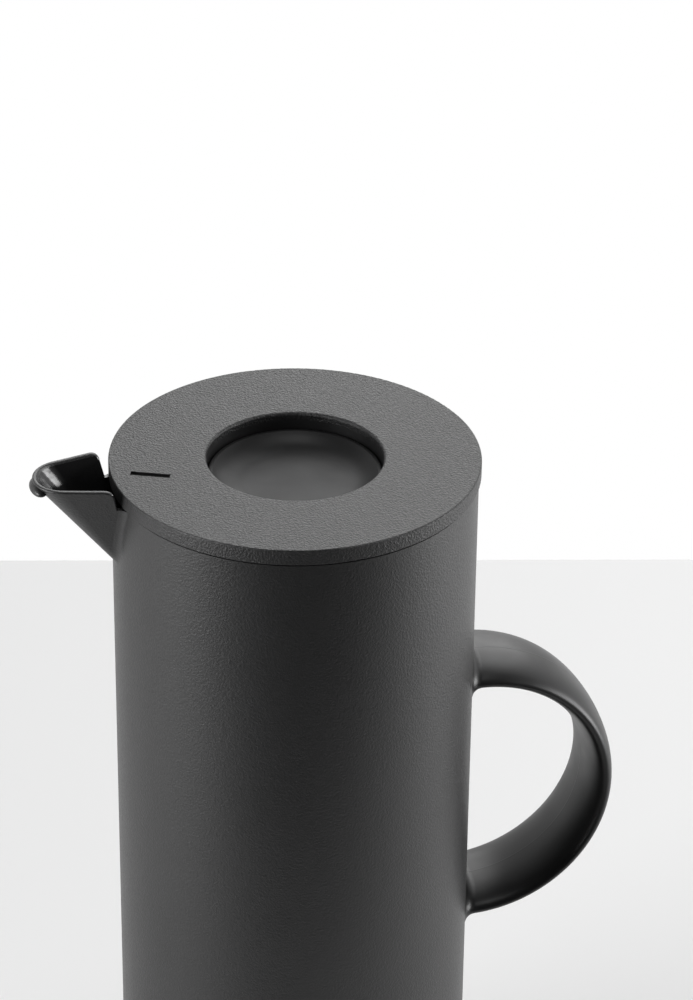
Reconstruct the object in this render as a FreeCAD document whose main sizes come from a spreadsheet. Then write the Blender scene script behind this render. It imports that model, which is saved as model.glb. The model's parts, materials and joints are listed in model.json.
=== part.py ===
import FreeCAD
import Part
import Sketcher
import math
import os
from types import SimpleNamespace

# Thermal carafe: a round vacuum jug with a spout, a bow handle and a lift-out lid.
# A push button in the lid opens a valve in its stopper.
# Lengths are in millimetres and angles in degrees. +Z is up, the origin lies on the table
# under the jug's axis, the spout points along -X and the handle along +X.

doc = FreeCAD.newDocument("ThermalCarafe")

# Driving dimensions, each with the words that say what it measures

DRIVING = (
    ("total_height", 290, "table to the top of the lid"),
    ("shell_radius", 54.45, "outside of the jug"),
    ("shell_wall", 2.4, "wall of the jug"),
    ("shell_foot", 3, "table to the lower edge of the shell"),
    ("shell_edge", 1.2, "rounding of the shell's lower edge"),
    ("deck_depth", 29.95, "shell rim down to the pouring floor"),
    ("deck_thickness", 2.5, "pouring floor"),
    ("fit_gap", 0.1, "gap between pieces that are fixed to each other"),
    ("slide_gap", 0.35, "gap round pieces that move"),
    ("overrun", 2, "how far a cut runs past what it cuts"),

    ("spout_rise", 1.85, "spout rim above the lid's top"),
    ("spout_reach", 24.5, "spout tip beyond the shell"),
    ("spout_nose", 10, "radius of the spout's nose at the rim"),
    ("spout_spread", 13.7, "angle of each flank to the spout's middle"),
    ("spout_depth", 30.95, "spout rim down to where the keel meets the shell"),
    ("keel_nose", 2.4, "radius of the keel at its lower end"),
    ("spout_wall", 1.5, "wall of the spout"),
    ("spout_blend", 2.9, "rounding between spout and shell"),
    ("spout_lip", 0.45, "rounding of the spout's rim"),
    ("spout_corner", 3, "rounding of the rim's ends beside the lid"),
    ("spout_lid_gap", 1.1, "gap between the lid's edge and the foot of the rim's ends"),
    ("spout_lean", 16, "angle at which the rim's ends lean away from the lid"),
    ("drip_reach", 2.8, "bead under the spout's tip, half its size outwards"),
    ("drip_length", 5.4, "bead, half its size round the nose"),
    ("drip_height", 1.9, "bead, half its height"),
    ("drip_sink", 0.2, "bead's middle inside the nose"),
    ("drip_drop", 2.7, "spout rim down to the bead's middle"),

    ("handle_drop", 121.4, "lid top down to the middle of the handle's bow"),
    ("handle_bow", 42.4, "radius of the handle's centreline"),
    ("handle_offset", 0.3, "middle of the bow beyond the shell"),
    ("handle_width", 31.4, "handle across the bow"),
    ("handle_thickness", 8.2, "handle at its crown"),
    ("handle_blend", 3.5, "rounding at the handle's roots"),
    ("handle_tuck", 12, "angle that each end of the bow runs on into the shell"),
    ("handle_seat", 0.05, "glue gap between the handle and the shell"),
    ("handle_screw_radius", 1.75, "handle screw"),
    ("handle_screw_head", 3.6, "radius of the handle screw's head"),
    ("handle_screw_cap", 1.6, "height of the handle screw's head"),
    ("handle_screw_bite", 10, "length of the screw inside the handle"),

    ("flask_clearance", 3.2, "gap between shell and flask"),
    ("glass_wall", 1.6, "wall of each glass"),
    ("vacuum_gap", 4, "gap between the two glasses"),
    ("glass_corner", 20, "rounding of the flask's floor"),
    ("neck_vacuum", 2, "gap between the two glasses in the neck"),
    ("neck_length", 17, "straight part of the flask's neck"),
    ("shoulder_height", 24, "flask's shoulder"),
    ("tip_radius", 4, "seal-off tip under the flask"),
    ("tip_length", 5, "seal-off tip under the flask"),
    ("spacer_width", 10, "pad between the two glasses"),
    ("spacer_height", 12, "pad between the two glasses"),
    ("spacer_lift", 40, "pads above the flask's floor"),

    ("collar_wall", 2.4, "tube of the neck collar"),
    ("collar_flange", 3, "thickness of the collar's flange"),
    ("collar_inset", 4.8, "gap between the collar's flange and the shell"),
    ("collar_rise", 2.5, "collar's tube above the pouring floor"),
    ("collar_gasket_height", 1.5, "gasket between collar and shell"),
    ("neck_gasket_height", 2, "gasket between flask and collar"),

    ("base_lift", 0.8, "table to the base cap"),
    ("base_floor", 3, "thickness of the base cap"),
    ("base_inset", 0.8, "base cap's edge inside the shell's outside"),
    ("base_skirt", 14, "base cap's skirt above its floor"),
    ("base_skirt_wall", 3.4, "wall of the base cap's skirt"),
    ("base_gap", 0.3, "gap between the base cap's skirt and the shell"),
    ("bead_reach", 0.5, "snap bead beyond the shell's inside"),
    ("bead_height", 2, "snap bead"),
    ("seal_groove_depth", 1.8, "groove of the base seal"),
    ("seal_groove_width", 2.6, "groove of the base seal"),
    ("foot_inset", 5.1, "foot ring inside the shell's outside"),
    ("foot_width", 5, "foot ring"),
    ("foot_sink", 1.2, "foot ring inside the base cap"),
    ("cushion_height", 10.5, "cushion under the flask"),
    ("cushion_bore", 9, "hole of the cushion round the seal-off tip"),
    ("cushion_width", 17, "cushion from its hole to its outside"),

    ("lid_overhang", 0.7, "lid beyond the shell"),
    ("lid_band", 4.9, "height of the lid's edge"),
    ("lid_seam", 0.65, "gap that shows between the lid and the shell's rim"),
    ("lid_seat", 1.1, "ring inside the seam that rests on the shell's rim"),
    ("lid_plate", 2.4, "top of the lid"),
    ("lid_band_wall", 2.6, "wall of the lid's edge"),
    ("lid_edge", 0.4, "rounding of the lid's top edge"),
    ("lid_low_edge", 0.3, "rounding of the lid's lower edge"),
    ("lid_ring", 28.91, "lid's edge to its hole for the button"),
    ("well_lip", 0.9, "rounding of the hole's edge"),
    ("mark_length", 11.8, "pointer line on the lid"),
    ("mark_width", 2.1, "pointer line on the lid"),
    ("mark_depth", 0.8, "pointer line on the lid"),
    ("mark_inset", 11.2, "lid's edge to the middle of the pointer line"),
    ("mark_aside", 1.65, "middle of the pointer line beside the spout's middle"),
    ("mark_turn", 22.4, "angle of the pointer line to the spout's middle"),

    ("stopper_gap", 0.5, "gap between the stopper's flange and the shell"),
    ("stopper_flange", 2.5, "thickness of the stopper's flange"),
    ("stopper_sink", 0.15, "stopper's flange below the shell's rim"),
    ("well_wall", 2.4, "wall of the button well"),
    ("well_depth", 17, "lid top down to the floor of the button well"),
    ("well_floor", 2, "floor of the button well"),
    ("pocket_radius", 8.6, "spring pocket"),
    ("pocket_wall", 1.6, "wall of the spring pocket"),
    ("pocket_depth", 11, "spring pocket below the well's floor"),
    ("pocket_floor", 5, "floor of the spring pocket"),
    ("tube_step", 1.96, "stopper's tube beyond the button well"),
    ("neck_tube_gap", 1.8, "gap between the stopper's tube and the neck"),
    ("neck_tube_wall", 3, "wall of the stopper's tube"),
    ("seat_drop", 8, "valve seat below the collar"),
    ("seat_height", 2.5, "valve seat"),
    ("seat_ledge", 6.2, "valve seat inside the stopper's tube"),
    ("window_margin", 13.2, "stopper's tube on each side of the pouring window"),
    ("window_gap", 0.6, "pouring window above the collar and below the well"),
    ("vent_radius", 2.5, "air hole of the stopper"),

    ("lid_seal_lift", 1.6, "lid seal above the collar's lower face"),
    ("lid_seal_height", 5, "lid seal"),
    ("lid_seal_depth", 1.4, "groove of the lid seal"),
    ("lid_lip", 0.9, "thickness of each sealing lip"),
    ("lid_screw_inset", 11.7, "lid's screws inside the shell's inside"),
    ("lid_screw_radius", 1.3, "lid screw"),
    ("lid_screw_head", 2.8, "radius of the lid screw's head"),
    ("lid_screw_cap", 1.7, "height of the lid screw's head"),
    ("lid_screw_bite", 2.6, "lid screw inside its boss"),
    ("lid_boss_radius", 3.4, "boss for a lid screw"),

    ("button_sink", 5.2, "button's rim below the lid's top"),
    ("button_dish", 3.2, "depth of the button's dish"),
    ("button_floor", 2.2, "floor of the button"),
    ("button_wall", 1.3, "button's rim"),
    ("button_bowl", 12, "rounding from the dish's floor up to its rim"),
    ("button_rim", 0.6, "rounding of the button's rim"),
    ("button_skirt", 0.9, "button's skirt below its floor"),
    ("boss_radius", 5, "boss that holds the valve stem"),
    ("boss_length", 6.4, "boss below the button's floor"),
    ("socket_roof", 1.4, "boss above the stem's end"),
    ("spring_radius", 7.1, "spring's wire from its axis"),
    ("spring_wire", 1.2, "diameter of the spring's wire"),
    ("stem_radius", 3, "valve stem"),
    ("stem_running", 0.08, "gap between the stem and its bush"),
    ("bush_wall", 2, "stem bush"),
    ("bush_height", 3, "stem bush"),
    ("valve_reach", 4, "valve gasket beyond the seat's opening"),
    ("valve_gap", 0.05, "gap between the closed valve and its seat"),
    ("valve_gasket_height", 1.5, "valve gasket"),
    ("valve_plate_height", 2.2, "valve plate"),
    ("valve_inset", 1, "valve plate inside the gasket's outside"),
    ("valve_screw_radius", 1.5, "valve screw"),
    ("valve_screw_head", 3.5, "radius of the valve screw's head"),
    ("valve_screw_cap", 1.8, "height of the valve screw's head"),
    ("valve_screw_bite", 9, "valve screw inside the stem"),
)

LID_SCREWS = 3
SPACERS = 3
SPRING_TURNS = 6
ARCS_PER_TURN = 4
FULL_TURN = 360
HALF_TURN = 180
QUARTER_TURN = 90
EDGE_SAMPLES = 7
TOLERANCE_SHARE = 1e-5

sheet = doc.addObject("Spreadsheet::Sheet", "Sizes")
for row, (alias, value, words) in enumerate(DRIVING, start=1):
    sheet.set("A%d" % row, words)
    sheet.set("B%d" % row, str(value))
    sheet.setAlias("B%d" % row, alias)
doc.recompute()


class Size:
    """A number of the sheet, or a sum of such numbers, with the expression that binds it."""

    def __init__(self, value, text):
        self.value = float(value)
        self.text = text

    def __add__(self, other):
        other = as_size(other)
        return Size(self.value + other.value, "(%s + %s)" % (self.text, other.text))

    def __sub__(self, other):
        other = as_size(other)
        return Size(self.value - other.value, "(%s - %s)" % (self.text, other.text))

    def __mul__(self, other):
        other = as_size(other)
        return Size(self.value * other.value, "(%s * %s)" % (self.text, other.text))

    def __truediv__(self, other):
        other = as_size(other)
        return Size(self.value / other.value, "(%s / %s)" % (self.text, other.text))

    def __neg__(self):
        return Size(-self.value, "(-%s)" % self.text)


def as_size(number):
    return number if isinstance(number, Size) else Size(number, repr(number))


def root(size):
    return Size(math.sqrt(size.value), "sqrt(%s)" % size.text)


def sine(size):
    return Size(math.sin(math.radians(size.value)), "sin(%s)" % size.text)


def cosine(size):
    return Size(math.cos(math.radians(size.value)), "cos(%s)" % size.text)


d = SimpleNamespace(**{alias: Size(sheet.get(alias), "Sizes." + alias) for alias, value, words in DRIVING})
ZERO = as_size(0)
AXIS_Y = FreeCAD.Vector(0, 1, 0)
AXIS_Z = FreeCAD.Vector(0, 0, 1)

# Sketches and bodies


def attach(feature, body, role):
    """Lays a sketch or a solid on one of its body's own planes."""
    plane = [item for item in body.Origin.OriginFeatures if item.Role == role][0]
    feature.AttachmentSupport = [(plane, "")]
    feature.MapMode = "FlatFace"


def new_sketch(body, name, role, offset=None):
    """A sketch on one of the body's own planes, moved along that plane's normal by the offset."""
    sketch = body.newObject("Sketcher::SketchObject", name)
    attach(sketch, body, role)
    if offset is not None:
        sketch.setExpression("AttachmentOffset.Base.z", offset.text)
    return sketch


def bound(sketch, size, kind, *where):
    """Adds a constraint of this kind whose value follows the size."""
    index = sketch.addConstraint(Sketcher.Constraint(kind, *where, size.value))
    sketch.setExpression("Constraints[%d]" % index, size.text)


def pin_point(sketch, geometry, end, across, along):
    """Holds an end of a line or arc, or a centre, at these two distances from the sketch's origin."""
    for kind, size, axis in (("DistanceX", across, -2), ("DistanceY", along, -1)):
        if size.value == 0:
            sketch.addConstraint(Sketcher.Constraint("PointOnObject", geometry, end, axis))
        else:
            bound(sketch, size, kind, -1, 1, geometry, end)


def arc_between(start, end, radius, turn):
    """An arc from start to end; turn is 1 where it runs anticlockwise and -1 where it runs clockwise."""
    chord = end - start
    side = FreeCAD.Vector(-chord.y, chord.x, 0).normalize() * turn
    centre = start + chord / 2 + side * math.sqrt(max(radius ** 2 - chord.Length ** 2 / 4, 0))
    angles = [math.atan2(point.y - centre.y, point.x - centre.x) for point in (start, end)]
    first, last = angles if turn > 0 else reversed(angles)
    return Part.ArcOfCircle(Part.Circle(centre, AXIS_Z, radius), first, last)


def draw_outline(sketch, points):
    """Closed outline of points (across, along), or (across, along, radius, turn) where an arc leads there."""
    joints = []
    for index, point in enumerate(points):
        before = points[index - 1]
        start = FreeCAD.Vector(before[0].value, before[1].value, 0)
        end = FreeCAD.Vector(point[0].value, point[1].value, 0)
        if len(point) == 2:
            line = sketch.addGeometry(Part.LineSegment(start, end))
            joints.append((line, 1, 2))
        else:
            radius, turn = point[2:]
            arc = sketch.addGeometry(arc_between(start, end, radius.value, turn))
            joints.append((arc, 1, 2) if turn > 0 else (arc, 2, 1))
    for index, (geometry, first, last) in enumerate(joints):
        following, start = joints[(index + 1) % len(joints)][:2]
        sketch.addConstraint(Sketcher.Constraint("Coincident", geometry, last, following, start))
    for point, (geometry, first, last) in zip(points, joints):
        pin_point(sketch, geometry, last, point[0], point[1])
        if len(point) > 2:
            bound(sketch, point[2], "Radius", geometry)


def turn_outline(body, name, points, kind="PartDesign::Revolution"):
    """Turns an outline of (radius, height) points about Z, as a solid or as a cut."""
    sketch = new_sketch(body, name + "_outline", "XZ_Plane")
    draw_outline(sketch, points)
    feature = body.newObject(kind, name)
    feature.Profile = sketch
    feature.ReferenceAxis = (sketch, ["V_Axis"])
    feature.Angle = FULL_TURN
    sketch.Visibility = False
    return feature


def new_body(label):
    body = doc.addObject("PartDesign::Body", label)
    body.Label = label
    return body


def turned_body(label, points):
    body = new_body(label)
    turn_outline(body, label + "_turning", points)
    return body


def ring_outline(inner, outer, low, high):
    return [(inner, low), (outer, low), (outer, high), (inner, high)]


# Plain solids, booleans and placements


def place(piece, x=ZERO, y=ZERO, z=ZERO, axis=AXIS_Z, angle=0):
    where = FreeCAD.Vector(x.value, y.value, z.value)
    piece.Placement = FreeCAD.Placement(where, FreeCAD.Rotation(axis, angle))
    for name, size in (("x", x), ("y", y), ("z", z)):
        piece.setExpression("Placement.Base." + name, size.text)
    return piece


def cylinder(label, radius, length, **where):
    piece = doc.addObject("Part::Cylinder", label)
    piece.setExpression("Radius", radius.text)
    piece.setExpression("Height", length.text)
    return place(piece, **where)


def block(label, length, width, height, **where):
    piece = doc.addObject("Part::Box", label)
    piece.setExpression("Length", length.text)
    piece.setExpression("Width", width.text)
    piece.setExpression("Height", height.text)
    return place(piece, **where)


def joined(label, pieces):
    piece = doc.addObject("Part::MultiFuse", label)
    piece.Shapes = pieces
    return piece


def carved(label, base, tools):
    piece = doc.addObject("Part::Cut", label)
    piece.Base = base
    piece.Tool = tools[0] if len(tools) == 1 else joined(label + "_cuts", tools)
    return piece


def shared(label, first, second):
    piece = doc.addObject("Part::Common", label)
    piece.Base = first
    piece.Tool = second
    return piece


def round_circle(count, radius):
    """Places of a ring of like pieces, the first one on the handle's side."""
    for index in range(count):
        angle = math.radians(FULL_TURN / count * index)
        yield index, radius * math.cos(angle), radius * math.sin(angle)


def sampled_edges(shape):
    """Each edge of a shape with its name and points along it."""
    for index, edge in enumerate(shape.Edges, start=1):
        if not edge.Degenerated:
            yield "Edge%d" % index, edge, edge.discretize(EDGE_SAMPLES)


def edges_on_cylinder(shape, radius):
    """Edges that wander over a cylinder about Z, without its seam and its flat circles."""
    names = []
    near = radius * TOLERANCE_SHARE
    for name, edge, points in sampled_edges(shape):
        on_wall = all(abs(math.hypot(p.x, p.y) - radius) < near for p in points)
        heights = [p.z for p in points]
        corners = [FreeCAD.Vector(p.x, p.y, 0) for p in points]
        level = max(heights) - min(heights) < near
        upright = max((corner - corners[0]).Length for corner in corners) < near
        if on_wall and not level and not upright:
            names.append(name)
    return names


def edges_at_height(shape, height):
    """Sharp edges that lie flat at this height."""
    names = []
    near = height * TOLERANCE_SHARE
    for name, edge, points in sampled_edges(shape):
        level = all(abs(point.z - height) < near for point in points)
        if level and not is_smooth(shape, edge, points[EDGE_SAMPLES // 2]):
            names.append(name)
    return names


def is_smooth(shape, edge, point):
    """Whether the faces beside an edge run into each other without a corner."""
    faces = shape.ancestorsOfType(edge, Part.Face)
    normals = [face.normalAt(*face.Surface.parameter(point)) for face in faces]
    return all(normal.isEqual(normals[0], TOLERANCE_SHARE) for normal in normals)


def rounded(body, name, feature, edges, radius):
    fillet = body.newObject("PartDesign::Fillet", name)
    fillet.Base = (feature, edges)
    fillet.setExpression("Radius", radius.text)
    return fillet


# Heights and radii that several pieces share

lid_top = d.total_height
lid_radius = d.shell_radius + d.lid_overhang
lid_under = lid_top - d.lid_plate
lid_low = lid_top - d.lid_band
rim = lid_low - d.lid_seam
shell_inner = d.shell_radius - d.shell_wall
deck_top = rim - d.deck_depth
deck_low = deck_top - d.deck_thickness
well_radius = lid_radius - d.lid_ring
tube_outer = well_radius + d.tube_step
tube_inner = tube_outer - d.neck_tube_wall
neck_radius = tube_outer + d.neck_tube_gap
collar_outer = neck_radius + d.collar_wall
collar_high = deck_low - d.collar_gasket_height
collar_low = collar_high - d.collar_flange
collar_top = deck_top + d.collar_rise
flange_outer = shell_inner - d.collar_inset
mouth = collar_low - d.neck_gasket_height
base_top = d.base_lift + d.base_floor
flask_low = base_top + d.cushion_height
foot_outer = d.shell_radius - d.foot_inset
skirt_outer = shell_inner - d.base_gap
skirt_high = base_top + d.base_skirt
bead_low = skirt_high - d.bead_height * 2
groove_low = base_top + d.seal_groove_width
handle_middle = lid_top - d.handle_drop
handle_centre = d.shell_radius + d.handle_offset
handle_screw_heights = (handle_middle + d.handle_bow, handle_middle - d.handle_bow)
handle_screw_face = root(shell_inner * shell_inner - d.handle_screw_head * d.handle_screw_head) - d.fit_gap
handle_screw_end = d.shell_radius + d.handle_screw_bite
spout_top = lid_top + d.spout_rise

flange_top = rim - d.stopper_sink
flange_low = flange_top - d.stopper_flange
well_outer = well_radius + d.well_wall
well_top = lid_top - d.well_depth
well_low = well_top - d.well_floor
pocket_top = well_top - d.pocket_depth
pocket_low = pocket_top - d.pocket_floor
pocket_outer = d.pocket_radius + d.pocket_wall
seat_opening = tube_inner - d.seat_ledge
window_width = (tube_outer - d.window_margin) * 2
lid_screw_circle = shell_inner - d.lid_screw_inset
seat_low = collar_low - d.seat_drop
seal_low = collar_low + d.lid_seal_lift
seal_high = seal_low + d.lid_seal_height
seal_floor = tube_outer - d.lid_seal_depth
bush_outer = d.stem_radius + d.stem_running + d.bush_wall
bush_high = pocket_low + d.bush_height
stem_hole = d.stem_radius + d.slide_gap

button_top = lid_top - d.button_sink
button_radius = well_radius - d.slide_gap
dish_floor = button_top - d.button_dish
button_under = dish_floor - d.button_floor
socket_high = button_under - d.socket_roof
valve_top = seat_low - d.valve_gap
plate_top = valve_top - d.valve_gasket_height
plate_low = plate_top - d.valve_plate_height
valve_outer = seat_opening + d.valve_reach


def make_spout_section(body, name, height, middle, nose):
    """Plan of the spout at one height: two straight flanks tangent to a round nose."""
    sketch = new_sketch(body, name, "XY_Plane", height)
    spread = d.spout_spread
    tail = shell_inner / 2
    half = (nose + (middle - tail) * sine(spread)) / cosine(spread)
    touch_x = (middle + nose * sine(spread)).value
    touch_y = (nose * cosine(spread)).value
    corners = [FreeCAD.Vector(tail.value, half.value * side, 0) for side in (-1, 1)]
    touches = [FreeCAD.Vector(touch_x, touch_y * side, 0) for side in (-1, 1)]
    tip = FreeCAD.Vector((middle + nose).value, 0, 0)
    back = sketch.addGeometry(Part.LineSegment(corners[1], corners[0]))
    right = sketch.addGeometry(Part.LineSegment(corners[0], touches[0]))
    arc = sketch.addGeometry(Part.Arc(touches[0], tip, touches[1]))
    left = sketch.addGeometry(Part.LineSegment(touches[1], corners[1]))
    sketch.addConstraint(Sketcher.Constraint("Coincident", back, 2, right, 1))
    sketch.addConstraint(Sketcher.Constraint("Coincident", left, 2, back, 1))
    sketch.addConstraint(Sketcher.Constraint("Tangent", right, 2, arc, 1))
    sketch.addConstraint(Sketcher.Constraint("Tangent", arc, 2, left, 1))
    pin_point(sketch, left, 2, tail, half)
    sketch.addConstraint(Sketcher.Constraint("Symmetric", back, 1, back, 2, -1))
    pin_point(sketch, arc, 3, middle, ZERO)
    bound(sketch, nose, "Radius", arc)
    sketch.Visibility = False
    return sketch


def spout_plan(depth):
    """Middle and radius of the spout's nose at this depth below its rim."""
    share = depth / d.spout_depth
    rim_middle = d.shell_radius + d.spout_reach - d.spout_nose
    keel_middle = d.shell_radius - d.keel_nose
    middle = rim_middle + (keel_middle - rim_middle) * share
    nose = d.spout_nose + (d.keel_nose - d.spout_nose) * share
    return middle, nose


def spout_loft(body, name, kind, wall):
    """The spout as straight lines from above its rim to below the keel's end, drawn in by the wall."""
    sections = []
    for place_name, depth in (("rim", -d.overrun), ("keel", d.spout_depth + d.overrun)):
        middle, nose = spout_plan(depth)
        section = make_spout_section(body, name + "_" + place_name, spout_top - depth, middle, nose - wall)
        sections.append(section)
    loft = body.newObject(kind, name)
    loft.Profile = sections[0]
    loft.Sections = sections[1:]
    loft.Ruled = True
    return loft


def sideways_holes(name, length):
    """Cuts for the handle's screws, from the jug's axis outwards."""
    radius = d.handle_screw_radius + d.fit_gap
    return [
        cylinder("%s_%d" % (name, index), radius, length, z=height, axis=AXIS_Y, angle=QUARTER_TURN)
        for index, height in enumerate(handle_screw_heights)
    ]


def make_outer_shell():
    """Tube of the jug with its spout, the pouring floor inside and the holes for the handle's screws."""
    body = new_body("shell_blank")
    edge = d.shell_edge
    turn_outline(body, "shell_tube", [
        (ZERO, d.shell_foot),
        (d.shell_radius - edge, d.shell_foot),
        (d.shell_radius, d.shell_foot + edge, edge, 1),
        (d.shell_radius, spout_top + d.overrun),
        (ZERO, spout_top + d.overrun),
    ])
    spout = spout_loft(body, "spout_outside", "PartDesign::AdditiveLoft", ZERO)
    doc.recompute()
    rounded(body, "spout_root", spout, edges_on_cylinder(spout.Shape, d.shell_radius.value), d.spout_blend)
    make_drip_bead(body)
    bead_groove = shell_inner + d.bead_reach + d.fit_gap
    turn_outline(body, "shell_inside", [
        (ZERO, d.shell_foot - d.overrun),
        (shell_inner, d.shell_foot - d.overrun),
        (shell_inner, bead_low - d.fit_gap),
        (bead_groove, bead_low - d.fit_gap),
        (bead_groove, bead_low + d.bead_height + d.fit_gap),
        (shell_inner, bead_low + d.bead_height + d.fit_gap),
        (shell_inner, deck_low),
        (collar_outer + d.fit_gap, deck_low),
        (collar_outer + d.fit_gap, deck_top),
        (shell_inner, deck_top),
        (shell_inner, spout_top + d.overrun * 2),
        (ZERO, spout_top + d.overrun * 2),
    ], "PartDesign::Groove")
    spout_loft(body, "spout_inside", "PartDesign::SubtractiveLoft", d.spout_wall)
    lid_room = lid_radius + d.spout_lid_gap
    slope = sine(d.spout_lean)
    upright = cosine(d.spout_lean)
    corner = lid_room + (spout_top - rim) * slope / upright
    bite = d.spout_corner * upright / (slope + 1)
    far = d.shell_radius + d.spout_reach * 2
    trim = turn_outline(body, "lid_room", [
        (ZERO, rim),
        (lid_room, rim),
        (corner - bite * slope, spout_top - bite * upright),
        (corner + bite, spout_top, d.spout_corner, -1),
        (far, spout_top),
        (far, spout_top + d.overrun * 2),
        (ZERO, spout_top + d.overrun * 2),
    ], "PartDesign::Groove")
    doc.recompute()
    rounded(body, "spout_rim", trim, edges_at_height(trim.Shape, spout_top.value), d.spout_lip)
    place(body, axis=AXIS_Z, angle=HALF_TURN)
    holes = sideways_holes("shell_hole", d.shell_radius + d.overrun)
    return carved("outer_shell", body, holes)


def make_drip_bead(body):
    """Bead at the front of the spout's nose that keeps drops off the keel."""
    bead = body.newObject("PartDesign::AdditiveEllipsoid", "drip_bead")
    middle, nose = spout_plan(d.drip_drop)
    bead.setExpression("Radius1", d.drip_height.text)
    bead.setExpression("Radius2", d.drip_reach.text)
    bead.setExpression("Radius3", d.drip_length.text)
    attach(bead, body, "XY_Plane")
    bead.setExpression("AttachmentOffset.Base.x", (middle + nose - d.drip_sink).text)
    bead.setExpression("AttachmentOffset.Base.z", (spout_top - d.drip_drop).text)


def make_handle():
    """Bow of an oval bar, flared at its two roots where it sits on the shell."""
    body = new_body("handle_bow")
    sketch = new_sketch(body, "bow_section", "XY_Plane", handle_middle)
    half = d.handle_width / 2
    middle = handle_centre + d.handle_bow
    axis_ends = [FreeCAD.Vector(handle_centre.value, half.value * end, 0) for end in (-1, 1)]
    axis = sketch.addGeometry(Part.LineSegment(*axis_ends), True)
    pin_point(sketch, axis, 2, handle_centre, half)
    sketch.addConstraint(Sketcher.Constraint("Symmetric", axis, 1, axis, 2, -1))
    side = FreeCAD.Vector(middle.value, half.value, 0)
    crown = FreeCAD.Vector((middle + d.handle_thickness / 2).value, 0, 0)
    oval = sketch.addGeometry(Part.Ellipse(side, crown, FreeCAD.Vector(middle.value, 0, 0)))
    sketch.exposeInternalGeometry(oval)
    width_line = oval + 1
    thickness_line = oval + 2
    sketch.addConstraint(Sketcher.Constraint("Vertical", width_line))
    pin_point(sketch, oval, 3, middle, ZERO)
    bound(sketch, d.handle_width, "Distance", width_line)
    bound(sketch, d.handle_thickness, "Distance", thickness_line)
    bow = body.newObject("PartDesign::Revolution", "bow")
    bow.Profile = sketch
    bow.ReferenceAxis = (sketch, ["Axis0"])
    bow.Midplane = True
    bow.setExpression("Angle", (as_size(HALF_TURN) + d.handle_tuck * 2).text)
    reach = d.handle_bow * 2
    core = turn_outline(body, "bow_core", [
        (ZERO, handle_middle - reach),
        (d.shell_radius, handle_middle - reach),
        (d.shell_radius, handle_middle + reach),
        (ZERO, handle_middle + reach),
    ])
    doc.recompute()
    rounded(body, "bow_roots", core, edges_on_cylinder(core.Shape, d.shell_radius.value), d.handle_blend)
    seat = d.shell_radius + d.handle_seat
    far = handle_middle + reach + d.overrun
    turn_outline(body, "bow_seat", [
        (ZERO, handle_middle - reach - d.overrun),
        (seat, handle_middle - reach - d.overrun),
        (seat, far),
        (ZERO, far),
    ], "PartDesign::Groove")
    return carved("handle", body, sideways_holes("handle_pilot", handle_screw_end + d.fit_gap))


def make_handle_screws():
    """Two screws that run outwards through the shell into the handle's roots."""
    head_from = handle_screw_face - d.handle_screw_cap
    rods = (
        ("head", d.handle_screw_head, d.handle_screw_cap),
        ("shank", d.handle_screw_radius, handle_screw_end - head_from),
    )
    pieces = []
    for index, height in enumerate(handle_screw_heights):
        for name, radius, length in rods:
            label = "handle_screw_%s_%d" % (name, index)
            rod = cylinder(label, radius, length, x=head_from, z=height, axis=AXIS_Y, angle=QUARTER_TURN)
            pieces.append(rod)
    return joined("handle_screws", pieces)


def glass_side(radius, neck, low, corner, top, sink):
    """One face of a glass from the middle of its floor up to its mouth, its shoulder lowered by the sink."""
    neck_low = lip_low - d.neck_length - sink
    shoulder_low = neck_low - d.shoulder_height
    narrowing = radius - neck
    bend = (narrowing * narrowing + d.shoulder_height * d.shoulder_height) / (narrowing * 4)
    halfway = (neck + narrowing / 2, neck_low - d.shoulder_height / 2, bend, 1)
    return [
        (ZERO, low),
        (radius - corner, low),
        (radius, low + corner, corner, 1),
        (radius, shoulder_low),
        halfway,
        (neck, neck_low, bend, -1),
        (neck, top),
    ]


def backwards(points):
    """The same face drawn from its mouth down to its floor."""
    turned = []
    for index in range(len(points) - 1, -1, -1):
        across, along = points[index][:2]
        after = points[index + 1] if index + 1 < len(points) else (across, along)
        turned.append((across, along) if len(after) == 2 else (across, along, after[2], -after[3]))
    return turned


outer_glass = shell_inner - d.flask_clearance
inner_glass = outer_glass - d.glass_wall - d.vacuum_gap
lip_low = mouth - d.glass_wall
neck_outside = neck_radius + d.glass_wall * 2 + d.neck_vacuum


def make_inner_flask():
    """Inner glass with the rolled lip that closes the vacuum at the mouth."""
    wall = d.glass_wall
    low = flask_low + wall + d.vacuum_gap
    sink = (wall + d.vacuum_gap) / 2
    outside = glass_side(inner_glass, neck_radius + wall, low, d.glass_corner + wall, lip_low, sink)
    inside = glass_side(inner_glass - wall, neck_radius, low + wall, d.glass_corner, mouth, sink + wall / 2)
    lip = [(neck_outside, lip_low), (neck_outside, mouth)]
    return turned_body("inner_flask", outside + lip + backwards(inside))


def make_outer_flask():
    """Outer glass with the seal-off tip in the middle of its floor."""
    wall = d.glass_wall
    neck = neck_outside - wall
    corner = d.glass_corner + wall * 2 + d.vacuum_gap
    outside = glass_side(outer_glass, neck_outside, flask_low, corner, lip_low, ZERO)
    inside = glass_side(outer_glass - wall, neck, flask_low + wall, corner - wall, lip_low, wall / 2)
    tip_low = flask_low - d.tip_length
    tip = [(ZERO, tip_low), (d.tip_radius / 2, tip_low), (d.tip_radius, flask_low)]
    return turned_body("outer_flask", tip + outside[1:] + backwards(inside))


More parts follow.
